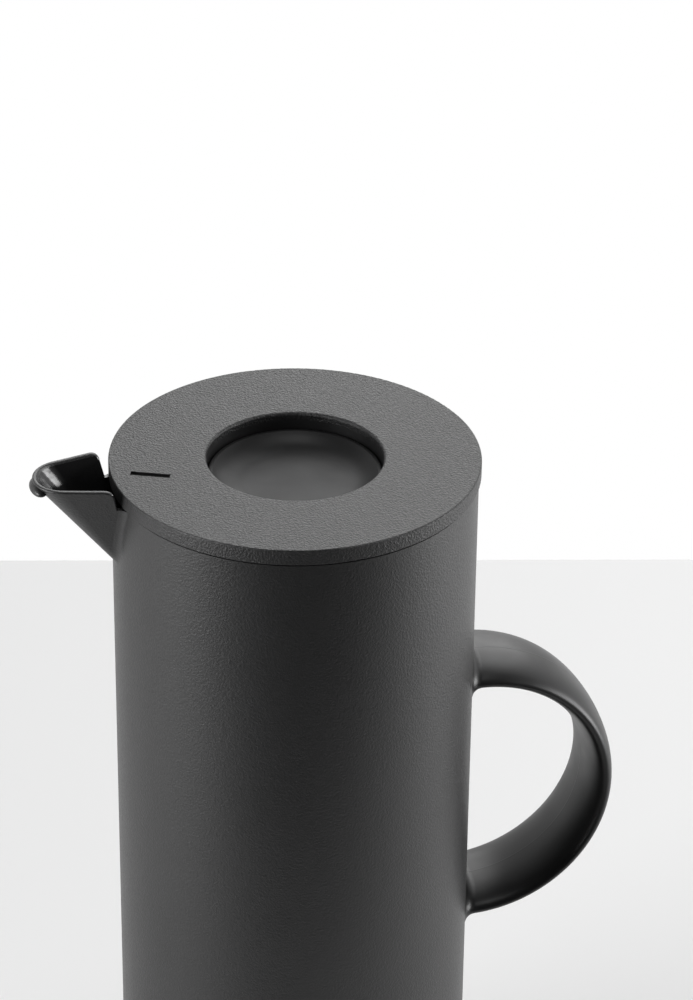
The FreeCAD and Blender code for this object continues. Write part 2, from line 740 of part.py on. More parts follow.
def make_flask_spacers():
    """Pads that hold the two glasses apart, cut from a ring that fills the gap between them."""
    low = flask_low + d.spacer_lift
    high = low + d.spacer_height
    inner = inner_glass + d.fit_gap
    outer = outer_glass - d.glass_wall - d.fit_gap
    ring = turned_body("spacer_ring", ring_outline(inner, outer, low, high))
    bars = []
    for index in range(SPACERS):
        angle = FULL_TURN / SPACERS * index
        turn = math.radians(angle)
        aside = d.spacer_width / 2
        bars.append(block("spacer_bar_%d" % index, d.shell_radius, d.spacer_width, d.spacer_height,
                          x=aside * math.sin(turn), y=-aside * math.cos(turn), z=low, angle=angle))
    return shared("flask_spacers", ring, joined("spacer_bars", bars))


def make_neck_collar():
    """Ring clamped between the flask's mouth and the pouring floor; its bore takes the stopper."""
    return turned_body("neck_collar", [
        (neck_radius, collar_low),
        (flange_outer, collar_low),
        (flange_outer, collar_high),
        (collar_outer, collar_high),
        (collar_outer, collar_top),
        (neck_radius, collar_top),
    ])


def make_collar_gasket():
    """Flat ring between the collar's flange and the pouring floor."""
    inner = collar_outer + d.collar_wall
    return turned_body("collar_gasket", ring_outline(inner, flange_outer, collar_high, deck_low))


def make_neck_gasket():
    """Flat ring between the flask's mouth and the collar."""
    return turned_body("neck_gasket", ring_outline(neck_radius, neck_outside, mouth, collar_low))


def make_base_cap():
    """Bottom cover: floor, foot groove, seal groove and the bead that snaps into the shell."""
    edge = d.shell_radius - d.base_inset
    ledge = d.shell_foot - d.fit_gap
    skirt_inner = skirt_outer - d.base_skirt_wall
    bead = shell_inner + d.bead_reach
    groove = skirt_outer - d.seal_groove_depth
    foot_inner = foot_outer - d.foot_width - d.fit_gap
    foot_high = d.base_lift + d.foot_sink
    return turned_body("base_cap", [
        (ZERO, d.base_lift),
        (foot_inner, d.base_lift),
        (foot_inner, foot_high),
        (foot_outer + d.fit_gap, foot_high),
        (foot_outer + d.fit_gap, d.base_lift),
        (edge, d.base_lift),
        (edge, ledge),
        (skirt_outer, ledge),
        (skirt_outer, groove_low),
        (groove, groove_low),
        (groove, groove_low + d.seal_groove_width),
        (skirt_outer, groove_low + d.seal_groove_width),
        (skirt_outer, bead_low),
        (bead, bead_low + d.bead_height / 2),
        (skirt_outer, bead_low + d.bead_height),
        (skirt_outer, skirt_high),
        (skirt_inner, skirt_high),
        (skirt_inner, base_top),
        (ZERO, base_top),
    ])


def make_base_seal():
    """Round ring in the base cap's groove."""
    section = (d.base_gap + d.seal_groove_depth) / 2 - d.fit_gap
    ring = doc.addObject("Part::Torus", "base_seal")
    ring.setExpression("Radius1", (shell_inner - d.fit_gap - section).text)
    ring.setExpression("Radius2", section.text)
    return place(ring, z=groove_low + d.seal_groove_width / 2)


def make_foot_ring():
    """Ring that the jug stands on."""
    inner = foot_outer - d.foot_width
    return turned_body("foot_ring", ring_outline(inner, foot_outer, ZERO, d.base_lift + d.foot_sink))


def make_flask_cushion():
    """Soft ring that presses the flask up against its gaskets."""
    outer = d.cushion_bore + d.cushion_width
    return turned_body("flask_cushion", ring_outline(d.cushion_bore, outer, base_top, flask_low))


def make_lid_cover():
    """Flat top of the lid with its hole, its pointer line and the bosses for the screws from below."""
    edge = d.lid_edge
    low_edge = d.lid_low_edge
    lip = d.well_lip
    band_inner = lid_radius - d.lid_band_wall
    plate = turned_body("cover_plate", [
        (well_radius, lid_under),
        (well_radius, lid_top - lip),
        (well_radius + lip, lid_top, lip, -1),
        (lid_radius - edge, lid_top),
        (lid_radius, lid_top - edge, edge, -1),
        (lid_radius, lid_low + low_edge),
        (lid_radius - low_edge, lid_low, low_edge, -1),
        (band_inner + d.lid_seat, lid_low),
        (band_inner + d.lid_seat, rim),
        (band_inner, rim),
        (band_inner, lid_under),
    ])
    bosses = []
    pilots = []
    pilot = d.lid_screw_radius + d.fit_gap
    pilot_depth = d.lid_screw_bite + d.fit_gap
    for index, x, y in round_circle(LID_SCREWS, lid_screw_circle):
        foot = {"x": x, "y": y, "z": flange_top}
        bosses.append(cylinder("lid_boss_%d" % index, d.lid_boss_radius, lid_under - flange_top, **foot))
        pilots.append(cylinder("lid_pilot_%d" % index, pilot, pilot_depth, **foot))
    turn = -d.mark_turn.value
    along = Size(math.cos(math.radians(turn)) / 2, "(cos(%s) / 2)" % d.mark_turn.text)
    across = Size(math.sin(math.radians(turn)) / 2, "(-sin(%s) / 2)" % d.mark_turn.text)
    corner_x = d.mark_inset - lid_radius - d.mark_length * along + d.mark_width * across
    corner_y = -d.mark_aside - d.mark_length * across - d.mark_width * along
    mark = block("pointer_line", d.mark_length, d.mark_width, d.mark_depth + d.overrun,
                 x=corner_x, y=corner_y, z=lid_top - d.mark_depth, angle=turn)
    return carved("lid_cover", joined("cover_blank", [plate] + bosses), pilots + [mark])


def make_stopper_body():
    """Lower half of the lid: flange, button well, spring pocket and the tube with window and valve seat."""
    bush_room = bush_outer + d.fit_gap
    blank = turned_body("stopper_blank", [
        (stem_hole, pocket_top),
        (stem_hole, bush_high),
        (bush_room, bush_high),
        (bush_room, pocket_low),
        (pocket_outer, pocket_low),
        (pocket_outer, well_low),
        (tube_inner, well_low),
        (tube_inner, seat_low + d.seat_height),
        (seat_opening, seat_low + d.seat_height),
        (seat_opening, seat_low),
        (tube_outer, seat_low),
        (tube_outer, seal_low),
        (seal_floor, seal_low),
        (seal_floor, seal_high),
        (tube_outer, seal_high),
        (tube_outer, well_low),
        (well_outer, well_low),
        (well_outer, flange_low),
        (shell_inner - d.stopper_gap, flange_low),
        (shell_inner - d.stopper_gap, flange_top),
        (well_outer, flange_top),
        (well_outer, lid_under),
        (well_radius, lid_under),
        (well_radius, well_top),
        (d.pocket_radius, well_top),
        (d.pocket_radius, pocket_top),
    ])
    window_low = collar_top + d.window_gap
    window_high = well_low - d.window_gap
    window = block("pouring_window", tube_outer - pocket_outer, window_width, window_high - window_low,
                   x=-tube_outer - d.overrun, y=-window_width / 2, z=window_low)
    vent_height = (window_low + window_high) / 2
    vent = cylinder("stopper_vent", d.vent_radius, tube_outer, x=pocket_outer, z=vent_height,
                    axis=AXIS_Y, angle=QUARTER_TURN)
    hole = d.lid_screw_radius + d.fit_gap
    depth = d.stopper_flange + d.overrun * 2
    holes = [
        cylinder("flange_hole_%d" % index, hole, depth, x=x, y=y, z=flange_low - d.overrun)
        for index, x, y in round_circle(LID_SCREWS, lid_screw_circle)
    ]
    return carved("stopper_body", blank, [window, vent] + holes)


def make_lid_screws():
    """Screws from below through the stopper's flange into the cover's bosses."""
    pieces = []
    length = d.lid_screw_cap + d.stopper_flange + d.lid_screw_bite
    for index, x, y in round_circle(LID_SCREWS, lid_screw_circle):
        foot = {"x": x, "y": y, "z": flange_low - d.lid_screw_cap}
        pieces.append(cylinder("lid_screw_head_%d" % index, d.lid_screw_head, d.lid_screw_cap, **foot))
        pieces.append(cylinder("lid_screw_shank_%d" % index, d.lid_screw_radius, length, **foot))
    return joined("lid_screws", pieces)


def make_lid_seal():
    """Ring in the stopper's groove with two lips that reach the collar's bore."""
    inner = seal_floor + d.fit_gap
    lips = neck_radius - d.fit_gap
    low = seal_low + d.fit_gap
    high = seal_high - d.fit_gap
    return turned_body("lid_seal", [
        (inner, low),
        (lips, low),
        (lips, low + d.lid_lip),
        (tube_outer, low + d.lid_lip),
        (tube_outer, high - d.lid_lip),
        (lips, high - d.lid_lip),
        (lips, high),
        (inner, high),
    ])


def make_push_button():
    """Dished cap that slides in the well, with a boss below for the valve stem."""
    rim_round = d.button_rim
    wall = button_radius - d.button_wall
    rise = root(d.button_bowl * d.button_dish * 2 - d.button_dish * d.button_dish)
    skirt_low = button_under - d.button_skirt
    boss_low = button_under - d.boss_length
    socket = d.stem_radius + d.fit_gap
    return turned_body("push_button", [
        (ZERO, dish_floor),
        (ZERO, socket_high),
        (socket, socket_high),
        (socket, boss_low),
        (d.boss_radius, boss_low),
        (d.boss_radius, button_under),
        (wall, button_under),
        (wall, skirt_low),
        (button_radius, skirt_low),
        (button_radius, button_top - rim_round),
        (button_radius - rim_round, button_top, rim_round, 1),
        (wall, button_top),
        (wall - rise, dish_floor, d.button_bowl, -1),
    ])


def make_valve_stem():
    """Rod from the button's boss down to the valve plate, with a blind hole for the screw."""
    rod = cylinder("stem_rod", d.stem_radius, socket_high - plate_top, z=plate_top)
    depth = d.valve_screw_bite + d.fit_gap
    hole = cylinder("stem_pilot", d.valve_screw_radius + d.fit_gap, depth, z=plate_top)
    return carved("valve_stem", rod, [hole])


def make_stem_seal():
    """Bush pressed into the pocket's floor round the stem."""
    inner = d.stem_radius + d.stem_running
    return turned_body("stem_seal", ring_outline(inner, bush_outer, pocket_low, bush_high))


def make_valve_gasket():
    """Ring on the valve plate that meets the stopper's seat."""
    inner = d.stem_radius + d.fit_gap
    return turned_body("valve_gasket", ring_outline(inner, valve_outer, plate_top, valve_top))


def make_valve_plate():
    """Disc below the gasket, held on the stem by a screw."""
    hole = d.valve_screw_radius + d.fit_gap
    return turned_body("valve_plate", ring_outline(hole, valve_outer - d.valve_inset, plate_low, plate_top))


def make_valve_screw():
    """Screw from below through the valve plate into the stem."""
    low = plate_low - d.valve_screw_cap
    shank = d.valve_screw_cap + d.valve_plate_height + d.valve_screw_bite
    return joined("valve_screw", [
        cylinder("valve_screw_cap", d.valve_screw_head, d.valve_screw_cap, z=low),
        cylinder("valve_screw_shank", d.valve_screw_radius, shank, z=low),
    ])


def tangent_arcs(start, start_way, end, end_way):
    """Two arcs that leave start along start_way, meet smoothly and arrive at end along end_way."""
    chord = end - start
    ways = start_way + end_way
    squared = 2 * start_way.dot(end_way) - 2
    linear = -2 * chord.dot(ways)
    reach = (-linear - math.sqrt(linear ** 2 - 4 * squared * chord.dot(chord))) / (2 * squared)
    knees = [start + start_way * reach, end - end_way * reach]
    meeting = (knees[0] + knees[1]) / 2
    arcs = []
    for first, knee, last in ((start, knees[0], meeting), (meeting, knees[1], end)):
        middle = (first + last) / 2
        half = math.atan2((knee - middle).Length, (last - first).Length / 2)
        crest = middle + (knee - middle) * (math.tan(half / 2) / math.tan(half))
        arcs.append(Part.Arc(first, crest, last).toShape())
    return arcs


def make_return_spring():
    """Wound wire between the pocket's floor and the button, as one tube along arcs."""
    radius = d.spring_radius.value
    wire = d.spring_wire.value
    low = (pocket_top + d.fit_gap + d.spring_wire / 2).value
    high = (button_under - d.fit_gap - d.spring_wire / 2).value
    steps = SPRING_TURNS * ARCS_PER_TURN
    climb = (high - low) / SPRING_TURNS / (2 * math.pi)
    points = []
    ways = []
    for step in range(steps + 1):
        angle = 2 * math.pi * step / ARCS_PER_TURN
        points.append(FreeCAD.Vector(radius * math.cos(angle), radius * math.sin(angle), low + climb * angle))
        ways.append(FreeCAD.Vector(-radius * math.sin(angle), radius * math.cos(angle), climb).normalize())
    edges = []
    for step in range(steps):
        edges += tangent_arcs(points[step], ways[step], points[step + 1], ways[step + 1])
    section = Part.Wire(Part.makeCircle(wire / 2, points[0], ways[0]))
    spring = doc.addObject("Part::Feature", "return_spring")
    spring.Shape = Part.Wire(edges).makePipeShell([section], True, False)
    spring.Placement = FreeCAD.Placement()
    least = 2 * math.pi * climb * math.cos(math.atan2(climb, radius)) - wire
    print("spring: %d turns, least gap between turns %.2f mm" % (SPRING_TURNS, least))
    return spring


NODES = [
    make_outer_shell(), make_handle(), make_handle_screws(), make_inner_flask(), make_outer_flask(),
    make_flask_spacers(), make_neck_collar(), make_collar_gasket(), make_neck_gasket(), make_base_cap(),
    make_base_seal(), make_foot_ring(), make_flask_cushion(), make_lid_cover(), make_stopper_body(),
    make_lid_screws(), make_lid_seal(), make_push_button(), make_valve_stem(), make_stem_seal(),
    make_valve_gasket(), make_valve_plate(), make_valve_screw(), make_return_spring(),
]

doc.recompute()
failed = [item.Label for item in doc.Objects if "Invalid" in item.State or "Error" in item.State]
failed += [node.Label for node in NODES if node.Shape.isNull() or not node.Shape.isValid()]
if failed:
    raise RuntimeError("these did not build: " + ", ".join(failed))

os.makedirs("parts", exist_ok=True)
for node in NODES:
    node.Shape.exportStep("parts/%s.step" % node.Label)
    print("%-16s %d solid(s) %10.1f mm3" % (node.Label, len(node.Shape.Solids), node.Shape.Volume))
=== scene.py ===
import json
import math

import bpy
from mathutils import Matrix, Vector


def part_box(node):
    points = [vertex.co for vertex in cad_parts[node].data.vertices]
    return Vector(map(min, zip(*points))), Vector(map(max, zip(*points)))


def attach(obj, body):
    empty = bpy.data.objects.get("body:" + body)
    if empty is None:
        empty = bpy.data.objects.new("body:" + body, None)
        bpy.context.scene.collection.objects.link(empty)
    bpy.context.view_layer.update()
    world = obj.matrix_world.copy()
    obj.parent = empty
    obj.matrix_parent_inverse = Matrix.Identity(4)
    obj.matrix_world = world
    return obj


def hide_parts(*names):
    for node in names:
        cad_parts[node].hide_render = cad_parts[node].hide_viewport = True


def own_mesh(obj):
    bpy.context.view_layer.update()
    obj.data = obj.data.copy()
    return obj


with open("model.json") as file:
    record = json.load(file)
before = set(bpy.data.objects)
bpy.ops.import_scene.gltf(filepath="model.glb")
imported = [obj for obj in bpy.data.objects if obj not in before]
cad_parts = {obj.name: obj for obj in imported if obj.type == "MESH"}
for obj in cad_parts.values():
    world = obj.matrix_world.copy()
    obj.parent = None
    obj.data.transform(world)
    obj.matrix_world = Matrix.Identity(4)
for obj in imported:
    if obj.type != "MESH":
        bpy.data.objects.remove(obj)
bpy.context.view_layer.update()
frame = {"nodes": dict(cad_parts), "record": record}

# Thermal carafe in black plastic on a pale table, seen from above at the photograph's angle.
# Lengths are in metres and angles in degrees unless a name says otherwise.

# Camera, fitted to the lid's circles and the jug's sides

IMAGE_SIZE_PIXELS = (693, 1000)
FOCAL_PIXELS = 3788
LID_MIDDLE_PIXELS = (295.2, 455.4)
VIEW_AZIMUTH = -14.4
VIEW_ELEVATION = 29.27
VIEW_ROLL = -0.69
VIEW_DEPTH = 1.118
SENSOR_MM = 36
MATRIX_SIZE = 4
LID_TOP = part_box("lid_cover")[1].z


def turn_about_jug(degrees):
    """Turn about the jug's upright axis."""
    return Matrix.Rotation(math.radians(degrees), MATRIX_SIZE, "Z")


def make_camera():
    """Camera that puts the middle of the lid's top on its pixel of the photograph."""
    across = LID_MIDDLE_PIXELS[0] - IMAGE_SIZE_PIXELS[0] / 2
    down = LID_MIDDLE_PIXELS[1] - IMAGE_SIZE_PIXELS[1] / 2
    pitch = math.radians(VIEW_ELEVATION) - math.atan2(down, FOCAL_PIXELS)
    roll = math.radians(VIEW_ROLL)
    forward = Vector((0, math.cos(pitch), -math.sin(pitch)))
    level = Vector((1, 0, 0))
    below = forward.cross(level)
    right = level * math.cos(roll) + below * math.sin(roll)
    downward = below * math.cos(roll) - level * math.sin(roll)
    step = VIEW_DEPTH / FOCAL_PIXELS
    place = -(forward * VIEW_DEPTH + right * across * step + downward * down * step)
    axes = Matrix((right, -downward, -forward)).transposed().to_4x4()
    lid_middle = Matrix.Translation((0, 0, LID_TOP)) @ turn_about_jug(VIEW_AZIMUTH)
    lens = bpy.data.cameras.new("photo_camera")
    lens.sensor_width = SENSOR_MM
    lens.lens = FOCAL_PIXELS * SENSOR_MM / max(IMAGE_SIZE_PIXELS)
    camera = bpy.data.objects.new("photo_camera", lens)
    camera.matrix_world = lid_middle @ Matrix.Translation(place) @ axes
    bpy.context.scene.collection.objects.link(camera)
    bpy.context.scene.camera = camera


# Node helpers

CLOUD_DETAIL = 2.0
PIT_SMOOTHNESS = 0.6
PATTERN_START_SHARE = 0.3
PATTERN_END_SHARE = 0.7
# Places of the colour sockets on Blender's mix node
MIX_COLOUR_INPUTS = (6, 7)
MIX_COLOUR_OUTPUT = 2


class Surface:
    """A material with a principled shader, fed by textures in the object's own coordinates."""

    def __init__(self, name):
        self.material = bpy.data.materials.new(name)
        self.material.use_nodes = True
        self.tree = self.material.node_tree
        self.shader = self.tree.nodes["Principled BSDF"]
        coords = self.tree.nodes.new("ShaderNodeTexCoord")
        self.coords = coords.outputs["Object"]

    def set(self, **values):
        """Sets numbers or colours on the shader's own sockets."""
        for name, value in values.items():
            socket = name.replace("_", " ").title().replace("Ior", "IOR")
            self.shader.inputs[socket].default_value = value

    def link(self, output, name):
        """Links a pattern to a socket of the shader."""
        self.tree.links.new(output, self.shader.inputs[name])

    def feed(self, node, name, value):
        """Links an output to a node's socket, or sets the socket to a number."""
        if isinstance(value, bpy.types.NodeSocket):
            self.tree.links.new(value, node.inputs[name])
        else:
            node.inputs[name].default_value = value

    def noise(self, size, detail=CLOUD_DETAIL, stretch=None):
        """Cloudy pattern whose patches are about this long."""
        node = self.tree.nodes.new("ShaderNodeTexNoise")
        node.inputs["Scale"].default_value = 1 / size
        node.inputs["Detail"].default_value = detail
        coords = self.coords
        if stretch:
            squeeze = self.tree.nodes.new("ShaderNodeVectorMath")
            squeeze.operation = "MULTIPLY"
            squeeze.inputs[1].default_value = stretch
            self.tree.links.new(coords, squeeze.inputs[0])
            coords = squeeze.outputs[0]
        self.tree.links.new(coords, node.inputs["Vector"])
        return node.outputs["Fac"]

    def pits(self, size):
        """Rounded cells of about this size, like a spark-eroded mould leaves."""
        node = self.tree.nodes.new("ShaderNodeTexVoronoi")
        node.feature = "SMOOTH_F1"
        node.inputs["Scale"].default_value = 1 / size
        node.inputs["Smoothness"].default_value = PIT_SMOOTHNESS
        self.tree.links.new(self.coords, node.inputs["Vector"])
        return node.outputs["Distance"]

    def math(self, operation, *values):
        """Sum, product or other result of numbers and patterns."""
        node = self.tree.nodes.new("ShaderNodeMath")
        node.operation = operation
        for index, value in enumerate(values):
            self.feed(node, index, value)
        return node.outputs[0]

    def spread(self, value, low, high, start=PATTERN_START_SHARE, end=PATTERN_END_SHARE, smooth=False):
        """Turns the range from start to end into numbers from low to high."""
        node = self.tree.nodes.new("ShaderNodeMapRange")
        if smooth:
            node.interpolation_type = "SMOOTHSTEP"
        self.feed(node, "Value", value)
        self.feed(node, "From Min", start)
        self.feed(node, "From Max", end)
        self.feed(node, "To Min", low)
        self.feed(node, "To Max", high)
        return node.outputs["Result"]

    def rise(self, value, start, end):
        """Share that goes smoothly from none at the start to all at the end."""
        return self.spread(value, 0, 1, start, end, True)

    def fall(self, value, start, end):
        """Share that goes smoothly from all at the start to none at the end."""
        return self.spread(value, 1, 0, start, end, True)

    def blend(self, share, first, second):
        """Number that goes from the first to the second with the share."""
        node = self.tree.nodes.new("ShaderNodeMix")
        self.feed(node, "Factor", share)
        self.feed(node, "A", first)
        self.feed(node, "B", second)
        return node.outputs["Result"]

    def tint(self, share, first, second):
        """Colour that goes from the first to the second with the share."""
        node = self.tree.nodes.new("ShaderNodeMix")
        node.data_type = "RGBA"
        self.feed(node, 0, share)
        for index, colour in zip(MIX_COLOUR_INPUTS, (first, second)):
            node.inputs[index].default_value = (*colour, 1)
        return node.outputs[MIX_COLOUR_OUTPUT]

    def bump(self, height, depth, strength=1, under=None):
        """Normals of a relief of this depth, on top of another relief if one is given."""
        node = self.tree.nodes.new("ShaderNodeBump")
        node.inputs["Distance"].default_value = depth
        self.feed(node, "Height", height)
        self.feed(node, "Strength", strength)
        if under:
            self.tree.links.new(under, node.inputs["Normal"])
        return node.outputs["Normal"]

    def place(self):
        """Coordinates X, Y and Z of the point, in metres."""
        node = self.tree.nodes.new("ShaderNodeSeparateXYZ")
        self.tree.links.new(self.coords, node.inputs[0])
        return node.outputs

    def facing_up(self):
        """Upward share of the surface's own direction."""
        normal = self.tree.nodes.new("ShaderNodeNewGeometry")
        node = self.tree.nodes.new("ShaderNodeSeparateXYZ")
        self.tree.links.new(normal.outputs["True Normal"], node.inputs[0])
        return node.outputs["Z"]


# Black plastics

BLACK_LOW = (0.006, 0.006, 0.0062)
BLACK_HIGH = (0.0105, 0.0105, 0.0108)
CLOUD_SIZE = 0.03
GRAIN_SIZE = 0.0007
FINE_GRAIN_SIZE = 0.00035
FINE_GRAIN_DETAIL = 1.0


def blackened(name):
    """Surface in a slightly cloudy black."""
    surface = Surface(name)
    surface.link(surface.tint(surface.noise(CLOUD_SIZE), BLACK_LOW, BLACK_HIGH), "Base Color")
    return surface


def grained(surface, depth, strength=1):
    """Spark-eroded relief: rounded pits with a finer grain between them."""
    relief = surface.math("ADD", surface.pits(GRAIN_SIZE), surface.noise(FINE_GRAIN_SIZE, FINE_GRAIN_DETAIL))
    return surface.bump(relief, depth, strength)


LID_ROUGHNESS = (0.42, 0.54)
LID_GRAIN_DEPTH = 0.00014
LID_SPECULAR = 0.52


def make_lid_plastic():
    """Matt black plastic with a clear fine grain."""
    surface = blackened("lid_plastic")
    surface.link(surface.spread(surface.noise(GRAIN_SIZE), *LID_ROUGHNESS), "Roughness")
    surface.link(grained(surface, LID_GRAIN_DEPTH), "Normal")
    surface.set(specular_ior_level=LID_SPECULAR)
    return surface.material


SPOUT_DEPTH = 0.031
SPOUT_RIM_DROP = 0.0006
SPOUT_INSIDE_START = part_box("outer_shell")[1].z - SPOUT_DEPTH
SPOUT_INSIDE_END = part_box("outer_shell")[1].z - SPOUT_RIM_DROP
SHELL_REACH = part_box("outer_shell")[1].y
NOSE_THICKNESS = 0.003
SPOUT_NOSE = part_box("outer_shell")[0].x + NOSE_THICKNESS
EDGE_SOFTNESS = 0.0004
UPWARD_SHARE = 0.05
POLISHED_ROUGHNESS = 0.16
SHELL_ROUGHNESS = (0.38, 0.46)
SHELL_GRAIN_DEPTH = 0.00006
SHELL_SPECULAR = 0.6


def spout_inside(surface):
    """Share that is all on the upward walls inside the spout and none on the rest of the shell."""
    place = surface.place()
    shares = (
        surface.fall(place["X"], -SHELL_REACH - EDGE_SOFTNESS, -SHELL_REACH),
        surface.rise(place["X"], SPOUT_NOSE, SPOUT_NOSE + EDGE_SOFTNESS),
        surface.rise(place["Z"], SPOUT_INSIDE_START, SPOUT_INSIDE_START + EDGE_SOFTNESS),
        surface.fall(place["Z"], SPOUT_INSIDE_END - EDGE_SOFTNESS, SPOUT_INSIDE_END),
    )
    inside = surface.spread(surface.facing_up(), 0, 1, 0, UPWARD_SHARE)
    for share in shares:
        inside = surface.math("MULTIPLY", inside, share)
    return inside


def make_shell_plastic():
    """Matt black plastic with a shallow grain, polished inside the spout."""
    surface = blackened("shell_plastic")
    inside = spout_inside(surface)
    outside = surface.math("SUBTRACT", 1, inside)
    matt = surface.spread(surface.noise(GRAIN_SIZE), *SHELL_ROUGHNESS)
    surface.link(surface.blend(inside, matt, POLISHED_ROUGHNESS), "Roughness")
    surface.link(grained(surface, SHELL_GRAIN_DEPTH, outside), "Normal")
    surface.set(specular_ior_level=SHELL_SPECULAR)
    return surface.material


SCUFF_SIZE = 0.012
SCUFF_DETAIL = 4.0
SATIN_SIZE = 0.0009
SATIN_DEPTH = 0.000006
PARTING_WIDTH = 0.00025
PARTING_DEPTH = 0.00003
HANDLE_ROUGHNESS = (0.34, 0.42)
HANDLE_SPECULAR = 0.36


def make_handle_plastic():
    """Satin black plastic with the faint line where the two halves of its mould met."""
    surface = blackened("handle_plastic")
    surface.link(surface.spread(surface.noise(SCUFF_SIZE, SCUFF_DETAIL), *HANDLE_ROUGHNESS), "Roughness")
    aside = surface.math("ABSOLUTE", surface.place()["Y"])
    line = surface.fall(aside, 0, PARTING_WIDTH)
    satin = surface.bump(surface.noise(SATIN_SIZE), SATIN_DEPTH)
    surface.link(surface.bump(line, PARTING_DEPTH, under=satin), "Normal")
    surface.set(specular_ior_level=HANDLE_SPECULAR)
    return surface.material


FINGER_MARK_DETAIL = 5.0
BUTTON_ROUGHNESS = (0.44, 0.52)
BUTTON_SPECULAR = 0.25


def make_button_plastic():
    """Smooth black plastic with the soft marks that fingertips leave."""
    surface = blackened("button_plastic")
    marks = surface.noise(SCUFF_SIZE, FINGER_MARK_DETAIL)
    surface.link(surface.spread(marks, *BUTTON_ROUGHNESS), "Roughness")
    surface.link(surface.bump(surface.noise(SATIN_SIZE), SATIN_DEPTH), "Normal")
    surface.set(specular_ior_level=BUTTON_SPECULAR)
    return surface.material


# Pieces inside the jug

INNER_LOW = (0.010, 0.010, 0.0103)
INNER_HIGH = (0.016, 0.016, 0.0164)
INNER_ROUGHNESS = (0.30, 0.42)


def make_inner_plastic():
    """Dark grey plastic of the stopper and the other inner mouldings."""
    surface = Surface("inner_plastic")
    surface.link(surface.tint(surface.noise(CLOUD_SIZE), INNER_LOW, INNER_HIGH), "Base Color")
    surface.link(surface.spread(surface.noise(SCUFF_SIZE, SCUFF_DETAIL), *INNER_ROUGHNESS), "Roughness")
    surface.link(surface.bump(surface.noise(SATIN_SIZE), SATIN_DEPTH), "Normal")
    return surface.material


SILVER_LOW = (0.78, 0.78, 0.77)
SILVER_HIGH = (0.90, 0.90, 0.89)
SILVER_DETAIL = 3.0
SILVER_ROUGHNESS = (0.05, 0.12)
SILVER_COAT = 0.5
WAVE_SIZE = 0.025
WAVE_DETAIL = 0.0
WAVE_DEPTH = 0.0002


def make_silvered_glass():
    """Blown glass with a silver coat behind it, slightly wavy."""
    surface = Surface("silvered_glass")
    clouds = surface.noise(CLOUD_SIZE, SILVER_DETAIL)
    surface.link(surface.tint(clouds, SILVER_LOW, SILVER_HIGH), "Base Color")
    scuffs = surface.noise(SCUFF_SIZE, SILVER_DETAIL)
    surface.link(surface.spread(scuffs, *SILVER_ROUGHNESS), "Roughness")
    surface.link(surface.bump(surface.noise(WAVE_SIZE, WAVE_DETAIL), WAVE_DEPTH), "Normal")
    surface.set(metallic=1, coat_weight=SILVER_COAT)
    return surface.material


SOFT_RINGS = {
    "spacer_pad": {"low": (0.30, 0.29, 0.27), "high": (0.38, 0.37, 0.35), "roughness": (0.8, 0.95)},
    "silicone": {"low": (0.52, 0.52, 0.50), "high": (0.60, 0.60, 0.58), "roughness": (0.45, 0.6)},
    "foot_rubber": {"low": (0.018, 0.018, 0.018), "high": (0.03, 0.03, 0.03), "roughness": (0.65, 0.8)},
}


def make_soft_ring(name, low, high, roughness):
    """Rubber, silicone or pressed pad with a dusty, slightly uneven skin."""
    surface = Surface(name)
    surface.link(surface.tint(surface.noise(SCUFF_SIZE, SCUFF_DETAIL), low, high), "Base Color")
    surface.link(surface.spread(surface.noise(SATIN_SIZE), *roughness), "Roughness")
    surface.link(surface.bump(surface.noise(GRAIN_SIZE), SATIN_DEPTH), "Normal")
    return surface.material


STEEL_LOW = (0.56, 0.56, 0.55)
STEEL_HIGH = (0.68, 0.68, 0.67)
STEEL_ROUGHNESS = (0.22, 0.38)
BRUSH_SIZE = 0.0004
BRUSH_STRETCH = (1, 1, 0.08)
BRUSH_DEPTH = 0.000004


def make_steel():
    """Drawn steel of the spring and the screws, with fine upright lines."""
    surface = Surface("steel")
    lines = surface.noise(BRUSH_SIZE, stretch=BRUSH_STRETCH)
    surface.link(surface.tint(lines, STEEL_LOW, STEEL_HIGH), "Base Color")
    surface.link(surface.spread(lines, *STEEL_ROUGHNESS), "Roughness")
    surface.link(surface.bump(lines, BRUSH_DEPTH), "Normal")
    surface.set(metallic=1)
    return surface.material


def dress_nodes():
    """Gives each CAD node the material of its slot in the record."""
    looks = {
        "shell_plastic": make_shell_plastic(),
        "handle_plastic": make_handle_plastic(),
        "lid_plastic": make_lid_plastic(),
        "button_plastic": make_button_plastic(),
        "inner_plastic": make_inner_plastic(),
        "silvered_glass": make_silvered_glass(),
        "steel": make_steel(),
    }
    for name, values in SOFT_RINGS.items():
        looks[name] = make_soft_ring(name, **values)
    for row in frame["record"]["subparts"]:
        mesh = frame["nodes"][row["node"]].data
        mesh.materials.clear()
        mesh.materials.append(looks[row["material_slot"]])


# Return spring, a fixed copy of the CAD spring carried with the lid


def make_spring():
    """Coiled steel wire that stands for the CAD spring."""
    spring = bpy.data.objects.new("coil_spring", frame["nodes"]["return_spring"].data.copy())
    bpy.context.scene.collection.objects.link(spring)
    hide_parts("return_spring")
    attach(spring, "lid")
    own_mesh(spring)


# Table, light and background

TABLE_EDGE_AHEAD = 0.425
TABLE_NEAR = -0.27
TABLE_FRONT = -1.0
TABLE_HALF_WIDTH = 1.0
TABLE_TURN = 1.5
TABLE_COLOUR = (0.84, 0.84, 0.84)
TABLE_ROUGHNESS = 0.7
TABLE_SPECULAR = 0.2
TABLE_PIECES = (
    {"name": "table", "near": TABLE_NEAR, "far": TABLE_EDGE_AHEAD, "mirrored": True},
    {"name": "table_front", "near": TABLE_FRONT, "far": TABLE_NEAR, "mirrored": False},
)


